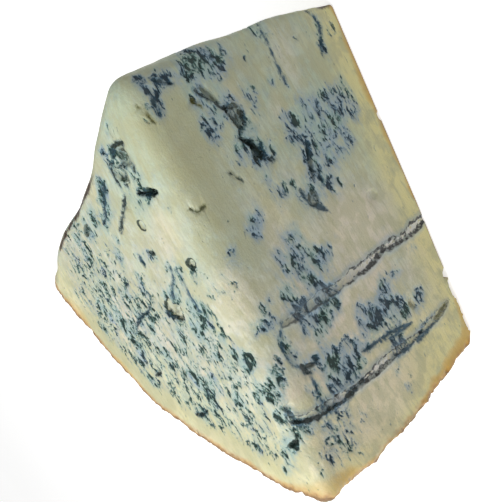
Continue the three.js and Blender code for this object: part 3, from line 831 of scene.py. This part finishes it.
# The veins' noises: size and gain, with octaves and roughness. A fade is where a value starts and
# ends to count, and the share at either end.
SWAY_SIZE, SWAY = 4.5, 2.6
BLOBS, FINE_BLOBS = (2.2, 4.8, 3.0, 0.55), (0.75, 2.6, 2.0, 0.6)
CONTOURS, CLUMPS = (3.4, 1.0), (7.0, 2.7)
LOOP_FADE, THIN_FADE, CLUMP_FADE = (0.0, 0.09, 0.45, -0.15), (0.0, 0.4, 0.5, 1.0), (0.0, 0.5)
STREAK_FADE, CORE_FADE, TINGE_FADE, CLOUDY_FADE = (0.58, 1.0), (0.9, 1.3), (0.06, 1.2), (0.0, 0.5, 0.1, 0.4)
THICKNESS_GAIN = 0.8
STREAK_SUNK, CORE_SUNK = 0.4, 0.6


def marble_place(n, place):
    """The place in millimetres, drawn out along the front cut as the curd is, and a little downhill."""
    along_cut = n.turned(place, "Z_AXIS", -HALF_ANGLE)
    return n.vector("DIVIDE", n.turned(along_cut, "Y_AXIS", CURD_TILT), CURD_STRETCH)


def vein_pattern(n, place, thickness, haze):
    """The mould's soft streaks, their darkest cores and the pale tinge round them, each 0 to 1."""
    q = marble_place(n, place)
    middle = n.vector("SUBTRACT", n.noise(q, SWAY_SIZE, colour=True), (0.5, 0.5, 0.5))
    swayed = n.vector("ADD", q, n.scaled(middle, SWAY))
    loops = n.ramp(n.math("ABSOLUTE", n.uneven(swayed, *CONTOURS)), *LOOP_FADE)
    clumps = n.uneven(q, *CLUMPS)
    amount = n.plus(thickness, n.times(clumps, n.ramp(thickness, *CLUMP_FADE)))
    pull = n.plus(n.plus(n.uneven(swayed, *BLOBS), loops), n.uneven(swayed, *FINE_BLOBS))
    pull = n.times(pull, n.ramp(thickness, *THIN_FADE))
    level = n.plus(n.times(amount, THICKNESS_GAIN), pull)
    cloudy = n.times(n.plus(clumps, pull), n.ramp(haze, *CLOUDY_FADE))
    tinge = n.ramp(n.plus(haze, cloudy), *TINGE_FADE)
    return n.ramp(level, *STREAK_FADE), n.ramp(level, *CORE_FADE), tinge


def vein_cores_at(mesh_object):
    """The dark cores' share at each vertex, worked out by the nodes that also colour them."""
    tree = bpy.data.node_groups.new("vein_cores", "GeometryNodeTree")
    tree.interface.new_socket("Geometry", in_out="INPUT", socket_type="NodeSocketGeometry")
    tree.interface.new_socket("Geometry", in_out="OUTPUT", socket_type="NodeSocketGeometry")
    n = Nodes(tree)
    start, end = n.add("NodeGroupInput"), n.add("NodeGroupOutput")
    place = n.scaled(n.add("GeometryNodeInputPosition").outputs[0], 1 / MM)
    thickness = n.add("GeometryNodeInputNamedAttribute", data_type="FLOAT")
    thickness.inputs["Name"].default_value = "mould"
    streak, core, _ = vein_pattern(n, place, thickness.outputs["Attribute"], 0.0)
    store = n.add("GeometryNodeStoreNamedAttribute", data_type="FLOAT", domain="POINT")
    n.plug(store.inputs["Geometry"], start.outputs[0])
    store.inputs["Name"].default_value = "core"
    sunk = n.plus(n.times(streak, STREAK_SUNK), n.times(core, CORE_SUNK))
    n.plug(store.inputs["Value"], sunk)
    n.plug(end.inputs[0], store.outputs[0])
    modifier = mesh_object.modifiers.new("vein_cores", "NODES")
    modifier.node_group = tree
    shown = mesh_object.evaluated_get(bpy.context.evaluated_depsgraph_get())
    values = np.empty(len(mesh_object.data.vertices))
    shown.data.attributes["core"].data.foreach_get("value", values)
    mesh_object.modifiers.remove(modifier)
    bpy.data.node_groups.remove(tree)
    return values


# ---------------- the mesh


def to_row(p):
    return (p + np.array([APEX_X, 0, 0])) * MM


def from_row(p):
    return p / MM - np.array([APEX_X, 0, 0])


def places_of(mesh):
    flat = np.empty(3 * len(mesh.vertices))
    mesh.vertices.foreach_get("co", flat)
    return from_row(flat.reshape(-1, 3))


def set_places(mesh, p):
    mesh.vertices.foreach_set("co", to_row(p).ravel())
    mesh.update()


def set_values(mesh, name, values):
    layer = mesh.attributes.get(name) or mesh.attributes.new(name, "FLOAT", "POINT")
    layer.data.foreach_set("value", values.astype(np.float32))


def thin_out(piece, faces):
    """Collapses the flattest edges until the piece has so many triangles."""
    now = sum(len(polygon.vertices) - 2 for polygon in piece.data.polygons)
    if now <= faces:
        return
    modifier = piece.modifiers.new("thin", "DECIMATE")
    modifier.ratio = faces / now
    shown = piece.evaluated_get(bpy.context.evaluated_depsgraph_get())
    thin = bpy.data.meshes.new_from_object(shown)
    piece.modifiers.remove(modifier)
    old, piece.data = piece.data, thin
    bpy.data.meshes.remove(old)


def surface_normal(p):
    direction = slope(p)
    return direction / np.maximum(np.linalg.norm(direction, axis=1, keepdims=True), 1e-6)


def refine(mesh, wanted):
    """Splits in four each face that has a wanted corner, and draws the new corners to the surface."""
    work = bmesh.new()
    work.from_mesh(mesh)
    faces = [face for face in work.faces if any(wanted[vertex.index] for vertex in face.verts)]
    edges = {edge for face in faces for edge in face.edges}
    bmesh.ops.subdivide_edges(work, edges=list(edges), cuts=1, use_grid_fill=True)
    work.to_mesh(mesh)
    work.free()
    p = places_of(mesh)
    added = np.arange(len(p)) >= len(wanted)
    p[added] = draw_to_surface(p[added])
    set_places(mesh, p)
    return p


def on_cuts(p):
    """Where the three cuts are, with their edges."""
    return np.min([np.abs(on_face(face, p)[2]) for face in FACES], 0) < CUT_BAND


def on_features(p):
    """Where channels, cracks and holes are carved."""
    return np.min([find(p)[0]["edge"] for find in (channels, cracks, holes)], 0) < FEATURE_BAND


def dress(mesh, p, normal):
    """Stores on the mesh what its material is worked out from."""
    groove, crack, hole = channels(p)[0], cracks(p)[0], holes(p)[0]
    thick, haze = marbling(p)
    values = {"mould": thick, "haze": haze, "skin": skin_depth(p), "rind": rind_share(p, normal),
              "channel": groove["edge"], "plain": groove["plain"], "pale": groove["pale"],
              "crack": crack["edge"], "shade": crack["shade"],
              # tone: soft patches, on the front cut partly painted light and shade
              "tone": soft_patches(p, TONES_AND_PAINTED_LIGHT), "amber": soft_patches(p, AMBER),
              "hole": hole["edge"], "inside": hole["inside"], "rim": hole["rim"]}
    for name, numbers in values.items():
        set_values(mesh, name, numbers)


def make_wedge():
    points, quads = box_shell(GRID_ALONG, GRID_UP)
    p = draw_to_surface(bend_to_wedge(points))
    mesh = bpy.data.meshes.new("cheese_wedge")
    mesh.from_pydata(to_row(p).tolist(), [], quads.tolist())
    piece = bpy.data.objects.new("cheese_wedge", mesh)
    bpy.context.scene.collection.objects.link(piece)
    p = refine(mesh, on_cuts(p))
    p = refine(mesh, on_features(p))

    normal = surface_normal(p)
    set_values(mesh, "mould", marbling(p)[0])
    cores = vein_cores_at(piece) * smooth(*VEINS_OFF_BASE, p[:, 2])
    height = relief(p, normal) - VEIN_RELIEF * cores * (1 - rind_share(p, normal))
    set_places(mesh, chipped_foot(p + normal * height[:, None]))
    thin_out(piece, FACES_WANTED)

    p = places_of(piece.data)
    dress(piece.data, p, surface_normal(p))
    piece.data.polygons.foreach_set("use_smooth", np.ones(len(piece.data.polygons), bool))
    return piece


# ---------------- the material


def linear(red, green, blue):
    """A colour as a screen shows it, 0 to 255, made linear by the sRGB curve."""
    parts = (c / 255 for c in (red, green, blue))
    return tuple(c / 12.92 if c <= 0.04045 else ((c + 0.055) / 1.055) ** 2.4 for c in parts) + (1.0,)


CREAM = linear(225, 223, 202)
PINKISH = linear(232, 221, 203)
GREENISH = linear(195, 209, 184)
# the tone patches' paler paste, partly painted light; the dark olive is also painted shade in the tone
# patches
PALE_PINK_AND_PAINTED_LIGHT = linear(241, 228, 203)
DARK_OLIVE_AND_PAINTED_SHADE = linear(190, 189, 148)
BUTTER = linear(220, 214, 164)
TINGE = linear(149, 176, 195)
TINGE_GREEN = linear(156, 184, 182)
STREAK_BLUE = linear(56, 96, 116)
STREAK_GREEN = linear(60, 106, 98)
CORE_BLUE = linear(12, 40, 52)
CORE_GREEN = linear(14, 42, 36)
BLACK_MOULD = linear(24, 38, 30)
OLIVE = linear(104, 104, 50)
# a dark brown for thin lines, as along the level cut's back edge
EDGE_LINE_BROWN = linear(72, 54, 38)
# the channel walls' dark colour: part mould, part painted shade of the groove
CHANNEL_WALL_MOULD_AND_SHADE = linear(36, 38, 34)
CHANNEL_BLUE = linear(128, 138, 136)
# the channel floor's near-white colour: partly the paste, partly painted highlight
CHANNEL_FLOOR_AND_HIGHLIGHT = linear(248, 244, 232)
# the skin's yellow near the rind, made lighter than the paste, partly as painted light
SKIN_YELLOW_AND_PAINTED_LIGHT = linear(242, 232, 162)
SKIN_AMBER = linear(224, 178, 66)
SKIN_ORANGE = linear(196, 138, 82)
RIND_RUST = linear(172, 126, 82)
RIND_TAN = linear(176, 150, 112)
RIND_BROWN = linear(138, 108, 74)
RIND_GREY = linear(166, 156, 136)

# Clouds and streaks: drawn out along the curd or not, then their noise's size, octaves and roughness,
# the stretch of it that they fade over, their shares at its ends, and their colour
PINK_CLOUDS = [(False, 17, 3.0, 0.5, (0.42, 0.6), (0.0, 1.0), PINKISH)]
PALE_CLOUDS = [
    (True, 7, 3.0, 0.6, (0.5, 0.72), (0.0, 0.55), BUTTER),
    (False, 3.5, 3.0, 0.6, (0.5, 0.75), (0.0, 0.3), TINGE),
    (True, 0.9, 2.0, 0.5, (0.42, 0.56), (0.13, 0.0), OLIVE),
]
OLIVE_CLOUDS = [
    (True, 2.6, 4.0, 0.65, (0.5, 0.64), (0.0, 0.5), DARK_OLIVE_AND_PAINTED_SHADE),
    (False, 8.0, 3.0, 0.6, (0.4, 0.56), (0.5, 0.0), DARK_OLIVE_AND_PAINTED_SHADE),
]
RIND_CLOUDS = [
    (False, 12, 4.0, 0.5, (0.4, 0.62), (0.0, 1.0), RIND_GREY),
    (False, 3.2, 4.0, 0.65, (0.48, 0.66), (0.0, 0.8), RIND_BROWN),
    (False, 18, 2.0, 0.5, (0.52, 0.68), (0.0, 0.4), RIND_RUST),
]

# Fades of the paste: greener towards the point, then its skin's yellow, lighter than the paste and
# partly painted light, amber, orange and brown
STREAK_STRETCH = (2.2, 1.0, 1.0)
POINT_GREEN, GREEN_CLOUD = (15, 115, 0.95, 0.15), (26, 1.4)
OFF_TOP, GREENER_TOP = (HEIGHT - 9, HEIGHT - 2, 1.0, 0.5), (HEIGHT - 9, HEIGHT - 2, 0.0, 0.16)
UNEVEN_SKIN, YELLOW_AND_PAINTED_LIGHT_FADE = (6, 9.0, 3.0), (4.0, 26.0, 0.9, 0.0)
# fades of the tone patches: paler paste partly painted light, olive paste partly painted shade
PALER_AND_PAINTED_LIGHT_FADE, OLIVE_AND_PAINTED_SHADE_FADE = (0.0, 1.0, 0.0, 0.9), (-1.0, 0.0, 0.75, 0.0)
AMBER_STAIN, AMBER_UNEVEN, AMBER_SIZE, AMBER_WIDTH = 4.5, 0.3, 9, (0.35, 0.65, 0.5, 1.6)
AMBER_FADE, CRUST_UNEVEN = (0.3, 1.6, 0.8, 0.0), (2.4, 2.4, 3.0, 0.6)
ORANGE_FADE, BROWN_FADE = (0.5, 2.4, 0.65, 0.0), (0.2, 1.3, 0.9, 0.0)

# Shares of the mould's colours, and where it is the greener one
TINGE_SHARE, STREAK_SHARE, CORE_SHARE = 0.85, 0.85, 0.95
GREEN_SIZE, GREEN_FADE = 8, (0.45, 0.63)

# Fades of a channel, by the distance from its edge, and of its walls, blotches and links by noise
HALO_FADE, WALL_FADE, OPENED_FADE = (0.0, 2.6, 0.5, 0.0), (0.0, 0.6, 1.0, 0.0), (-1.4, -0.8, 0.95, 0.0)
# the pale blotch fade sets where the channel floor shows pale, partly as painted highlight
BLOTCHES, BLUE_BLOTCH, GLINT_AND_PALE_BLOTCH = (1.5, 3.0, 0.6), (0.35, 0.6, 0.0, 0.4), (0.38, 0.48)
LINKS, NARROWED = (2.2, 2.4, 2.0, 0.6), (0.0, 1.0, -0.75, 0.1)
BREAKS, BROKEN_FADE = 2.0, (0.38, 0.54, 0.15, 1.0)

# Fades of cracks and holes: from a crack's shade to its colours, and by the distance from their edges
TO_BLUE, TO_OLIVE, TO_BROWN = (0.0, 0.5), (0.5, 0.9), (1.0, 1.4)
CRACK_TORN, CRACK_HALO, CRACK_FADE = 0.6, (-0.1, 1.1, 0.6, 0.0), (-0.3, 0.25, 0.95, 0.0)
HOLE_TORN, HOLE_FADE, BARE_FADE = 0.2, (-0.35, 0.15, 1.0, 0.0), (0.0, 0.15, 0.7, 0.0)
RIM_INSIDE, RIM_OUTSIDE = (-0.6, -0.25), (0.1, 0.4, 1.0, 0.0)
RAGGED, RAGGED_GAP, TORN_CURD = (1.3, 2.6, 3.0, 0.65), 0.5, (1.1, 4.0, 3.0, 0.65)

# Gloss and grain: roughness by noise, and what mould, wet floors and rind add or take
GREASE, GREASE_FADE, WET_FADE = (2.5, 3.0), (0.3, 0.7, 0.36, 0.6), (-0.7, -0.1, 1.0, 0.0)
DRY_MOULD, WET_FLOOR, DRY_RIND = 0.2, 0.28, 0.25
GRAIN, GRAIN_HEIGHT = (0.8, 4.0, 0.6), 0.28
WIRE_STRETCH, WIRE, WIRE_HEIGHT = (6.0, 1.0, 1.0), (0.8, 2.0), 0.1
CRUST_GRAIN, SUNKEN_MOULD, BUMP = (1.6, 4.0, 0.7), 0.2, 0.65
SOFT_LIGHT = {"Subsurface Weight": 0.25, "Subsurface Radius": (1.0, 0.75, 0.4),
              "Subsurface Scale": 2.5 * MM, "IOR": 1.42}
FLOOR_GREY, FLOOR_WHITE, FLOOR_CLOUD = linear(246, 246, 245), linear(250, 250, 249), (0.4, (0.3, 0.7))


def attribute(n, name):
    return n.add("ShaderNodeAttribute", attribute_name=name).outputs["Fac"]


def off_top(n, place):
    """How strong the skin's colours are: weaker on the level cut."""
    return n.ramp(n.part(place, 2), *OFF_TOP)


def clouded(n, colour, places, clouds):
    """Lays clouds over a colour. The places are the plain one and the one that is drawn out."""
    for drawn_out, size, octaves, rough, fade, shares, over in clouds:
        share = n.ramp(n.noise(places[drawn_out], size, octaves, rough), *fade, *shares)
        colour = n.mix(share, colour, over)
    return colour


def greenness(n, place):
    flat = n.vector("MULTIPLY", place, (1.0, 1.0, 0.0))
    reach = n.length(n.vector("SUBTRACT", flat, (APEX_X, 0.0, 0.0)))
    return n.plus(n.ramp(reach, *POINT_GREEN), n.uneven(place, *GREEN_CLOUD), clamp=True)


def paste_colour(n, place, skin):
    """Plain paste with its olive and pinkish clouds and fine drawn-out streaks, its soft tone patches,
    partly painted light and shade, and its yellow skin, made lighter than the paste near the rind, partly
    as painted light.
    """
    places = (place, n.vector("DIVIDE", marble_place(n, place), STREAK_STRETCH))
    paste = clouded(n, CREAM, places, PINK_CLOUDS)
    paste = n.mix(greenness(n, place), paste, GREENISH)
    paste = clouded(n, paste, places, PALE_CLOUDS)
    uneven = n.uneven(place, *UNEVEN_SKIN)
    # yellow near the rind and foot: partly the skin's own colour, partly painted light
    yellow = n.times(n.ramp(n.plus(skin, uneven), *YELLOW_AND_PAINTED_LIGHT_FADE), off_top(n, place))
    paste = n.mix(yellow, paste, SKIN_YELLOW_AND_PAINTED_LIGHT)
    # tone patches: partly painted light and shade, paler towards the wall and darker towards the point
    tone = attribute(n, "tone")
    paste = n.mix(n.ramp(tone, *PALER_AND_PAINTED_LIGHT_FADE), paste, PALE_PINK_AND_PAINTED_LIGHT)
    paste = n.mix(n.ramp(tone, *OLIVE_AND_PAINTED_SHADE_FADE), paste, DARK_OLIVE_AND_PAINTED_SHADE)
    paste = clouded(n, paste, places, OLIVE_CLOUDS)
    return skin_colour(n, place, paste, skin, uneven)


def skin_colour(n, place, paste, skin, uneven):
    """The amber skin that lies under the rind, and the crust's orange and brown lines."""
    stains = n.times(attribute(n, "amber"), AMBER_STAIN)
    wide = n.plus(n.ramp(n.noise(place, AMBER_SIZE), *AMBER_WIDTH), stains)
    edge = n.plus(skin, n.times(uneven, AMBER_UNEVEN))
    amber = n.ramp(n.math("DIVIDE", edge, wide), *AMBER_FADE)
    paste = n.mix(n.times(amber, off_top(n, place)), paste, SKIN_AMBER)
    crust = n.plus(skin, n.uneven(place, *CRUST_UNEVEN))
    paste = n.mix(n.ramp(crust, *ORANGE_FADE), paste, SKIN_ORANGE)
    return n.mix(n.ramp(crust, *BROWN_FADE), paste, RIND_BROWN)


def mould_colour(n, place, paste, streak, core, tinge):
    """The pale tinge, the soft streaks and the dark cores, greener on the level cut."""
    level = n.ramp(n.part(place, 2), *GREENER_TOP)
    green = n.ramp(n.plus(n.noise(place, GREEN_SIZE), level), *GREEN_FADE)
    layers = ((tinge, TINGE_SHARE, TINGE, TINGE_GREEN), (streak, STREAK_SHARE, STREAK_BLUE, STREAK_GREEN),
              (core, CORE_SHARE, CORE_BLUE, CORE_GREEN))
    colour = paste
    for there, share, blue_one, green_one in layers:
        colour = n.mix(n.times(there, share), colour, n.mix(green, blue_one, green_one))
    return colour


def channel_colour(n, place, under, gap):
    """Dark broken walls, part mould and part painted shade, round a floor that is pale and wet, its pale
    blotches partly painted highlight, or bluish where the groove has closed.

    The walls meet here and there, so the floor shows as a chain of links.
    """
    blotches = n.noise(place, *BLOTCHES)
    plain, pale = attribute(n, "plain"), attribute(n, "pale")
    bluish = n.mix(n.ramp(blotches, *BLUE_BLOTCH), under, CHANNEL_BLUE)
    # pale blotches of the floor: partly its own pale colour, partly painted highlight
    floor = n.mix(n.times(pale, n.ramp(blotches, *GLINT_AND_PALE_BLOTCH)), bluish, CHANNEL_FLOOR_AND_HIGHLIGHT)
    halo = n.times(n.ramp(gap, *HALO_FADE), plain)
    inner = n.plus(n.plus(gap, n.uneven(place, *LINKS)), n.ramp(pale, *NARROWED))
    opened = n.ramp(inner, *OPENED_FADE)
    colour = n.mix(opened, n.mix(halo, under, TINGE), floor)
    broken = n.times(n.ramp(n.noise(place, BREAKS), *BROKEN_FADE), plain)
    # dark walls: part mould, part painted shade of the groove
    wall = n.times(n.ramp(gap, *WALL_FADE), broken)
    return n.mix(n.times(wall, n.math("SUBTRACT", 1.0, opened)), colour, CHANNEL_WALL_MOULD_AND_SHADE)


def crack_colour(n, under, torn):
    """A crack with a soft edge, in the colours that its shade gives."""
    crack = n.plus(attribute(n, "crack"), n.times(torn, CRACK_TORN))
    tone = attribute(n, "shade")
    mould = n.mix(n.ramp(tone, *TO_BLUE), BLACK_MOULD, STREAK_BLUE)
    colour = under
    for start, fade in ((STREAK_BLUE, CRACK_HALO), (mould, CRACK_FADE)):
        shade = n.mix(n.ramp(tone, *TO_BROWN), n.mix(n.ramp(tone, *TO_OLIVE), start, OLIVE), EDGE_LINE_BROWN)
        colour = n.mix(n.ramp(crack, *fade), colour, shade)
    return colour


def hole_colour(n, under, paste, torn):
    """Holes in plain paste or lined with black mould, some with a dark rim."""
    hole = n.plus(attribute(n, "hole"), n.times(torn, HOLE_TORN))
    within = n.ramp(hole, *HOLE_FADE)
    inside = attribute(n, "inside")
    colour = n.mix(n.times(within, n.ramp(inside, *BARE_FADE)), under, paste)
    colour = n.mix(n.times(within, inside), colour, BLACK_MOULD)
    rim = n.times(n.ramp(hole, *RIM_INSIDE), n.ramp(hole, *RIM_OUTSIDE))
    return n.mix(n.times(rim, attribute(n, "rim")), colour, CORE_GREEN)


def roughness(n, place, wet, core, rind):
    """Greasy paste, drier mould and rind, and wet channel floors."""
    rough = n.ramp(n.noise(place, *GREASE), *GREASE_FADE)
    rough = n.plus(rough, n.times(core, DRY_MOULD))
    rough = n.math("SUBTRACT", rough, n.times(wet, WET_FLOOR))
    return n.plus(rough, n.times(rind, DRY_RIND), clamp=True)


def fine_height(n, place, streak, core, rind):
    """Grain, drag lines of the wire, sunken mould and the rind's crust."""
    drag = n.noise(n.vector("DIVIDE", marble_place(n, place), WIRE_STRETCH), *WIRE)
    fine = n.times(n.noise(place, *GRAIN), GRAIN_HEIGHT)
    height = n.plus(fine, n.times(drag, WIRE_HEIGHT))
    height = n.plus(height, n.times(rind, n.noise(place, *CRUST_GRAIN)))
    return n.math("SUBTRACT", height, n.times(n.plus(streak, core), SUNKEN_MOULD))


def bumped(n, height):
    bump = n.add("ShaderNodeBump")
    bump.inputs["Distance"].default_value = MM
    bump.inputs["Strength"].default_value = BUMP
    n.plug(bump.inputs["Height"], height)
    return bump.outputs[0]


def cheese_material():
    material = bpy.data.materials.new("blue_cheese")
    material.use_nodes = True
    material.node_tree.nodes.clear()
    n = Nodes(material.node_tree)
    shader = n.add("ShaderNodeBsdfPrincipled")
    n.plug(n.add("ShaderNodeOutputMaterial").inputs["Surface"], shader.outputs[0])

    place = n.scaled(n.add("ShaderNodeTexCoord").outputs["Object"], 1 / MM)
    skin, rind = attribute(n, "skin"), attribute(n, "rind")
    ragged = n.uneven(place, *RAGGED)
    torn = n.plus(ragged, n.uneven(marble_place(n, place), *TORN_CURD))
    gap = n.plus(attribute(n, "channel"), n.times(ragged, RAGGED_GAP))
    streak, core, tinge = vein_pattern(n, place, attribute(n, "mould"), attribute(n, "haze"))

    paste = paste_colour(n, place, skin)
    colour = mould_colour(n, place, paste, streak, core, tinge)
    colour = channel_colour(n, place, colour, gap)
    colour = hole_colour(n, crack_colour(n, colour, torn), paste, torn)
    colour = n.mix(rind, colour, clouded(n, RIND_TAN, (place,), RIND_CLOUDS))
    n.plug(shader.inputs["Base Color"], colour)
    wet = n.ramp(gap, *WET_FADE)
    n.plug(shader.inputs["Roughness"], roughness(n, place, wet, core, rind))
    n.plug(shader.inputs["Normal"], bumped(n, fine_height(n, place, streak, core, rind)))
    for name, value in SOFT_LIGHT.items():
        shader.inputs[name].default_value = value
    return material


# ---------------- floor, light and camera


def pale_material():
    material = bpy.data.materials.new("pale_floor")
    material.use_nodes = True
    n = Nodes(material.node_tree)
    shader = material.node_tree.nodes["Principled BSDF"]
    size, fade = FLOOR_CLOUD
    tone = n.ramp(n.noise(n.add("ShaderNodeTexCoord").outputs["Object"], size), *fade)
    n.plug(shader.inputs["Base Color"], n.mix(tone, FLOOR_GREY, FLOOR_WHITE))
    shader.inputs["Roughness"].default_value = FLOOR_ROUGHNESS
    shader.inputs["Emission Color"].default_value = (1, 1, 1, 1)
    shader.inputs["Emission Strength"].default_value = FLOOR_GLOW
    return material


def make_floor():
    bpy.ops.mesh.primitive_plane_add(size=FLOOR_SIZE, location=(0, 0, 0))
    floor = bpy.context.object
    floor.name = "floor"
    floor.data.materials.append(pale_material())
    floor.visible_diffuse = False
    floor.visible_shadow = False


def area_light(name, place, size, power):
    data = bpy.data.lights.new(name, "AREA")
    data.shape = "DISK"
    data.size = size
    data.energy = power
    light = bpy.data.objects.new(name, data)
    light.location = place
    light.rotation_mode = "QUATERNION"
    light.rotation_quaternion = (Vector(LIGHTS_AIM) - Vector(place)).to_track_quat("-Z", "Y")
    bpy.context.scene.collection.objects.link(light)


def make_lights():
    for name, (place, size, power) in LIGHTS.items():
        area_light(name, place, size, power)
    world = bpy.data.worlds.new("studio")
    world.use_nodes = True
    world.node_tree.nodes["Background"].inputs["Color"].default_value = (1, 1, 1, 1)
    world.node_tree.nodes["Background"].inputs["Strength"].default_value = WORLD_STRENGTH
    bpy.context.scene.world = world
    bpy.context.scene.view_settings.view_transform = "Standard"


def make_camera():
    """A camera rolled so that the wedge stands on its point and wall, as it is pictured."""
    azimuth, elevation = math.radians(CAMERA_AZIMUTH), math.radians(CAMERA_ELEVATION)
    flat = math.cos(elevation)
    back = Vector((math.sin(azimuth) * flat, -math.cos(azimuth) * flat, math.sin(elevation)))
    aim = Vector(to_row(np.array(CAMERA_AIM)))
    data = bpy.data.cameras.new("camera")
    data.sensor_width = SENSOR_WIDTH
    data.lens = SENSOR_WIDTH * FOCAL_PIXELS / PICTURE_WIDTH
    data.clip_start = CLIP_START
    camera = bpy.data.objects.new("camera", data)
    roll = Matrix.Rotation(math.radians(-CAMERA_ROLL), 3, "Z")
    turn = (-back).to_track_quat("-Z", "Y").to_matrix() @ roll
    camera.matrix_world = Matrix.Translation(aim + back * CAMERA_DISTANCE * MM) @ turn.to_4x4()
    bpy.context.scene.collection.objects.link(camera)
    bpy.context.scene.camera = camera


# ---------------- the scene

make_camera()
wedge = make_wedge()
wedge.data.materials.append(cheese_material())
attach(wedge, "root")
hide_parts(NODE)
make_floor()
make_lights()
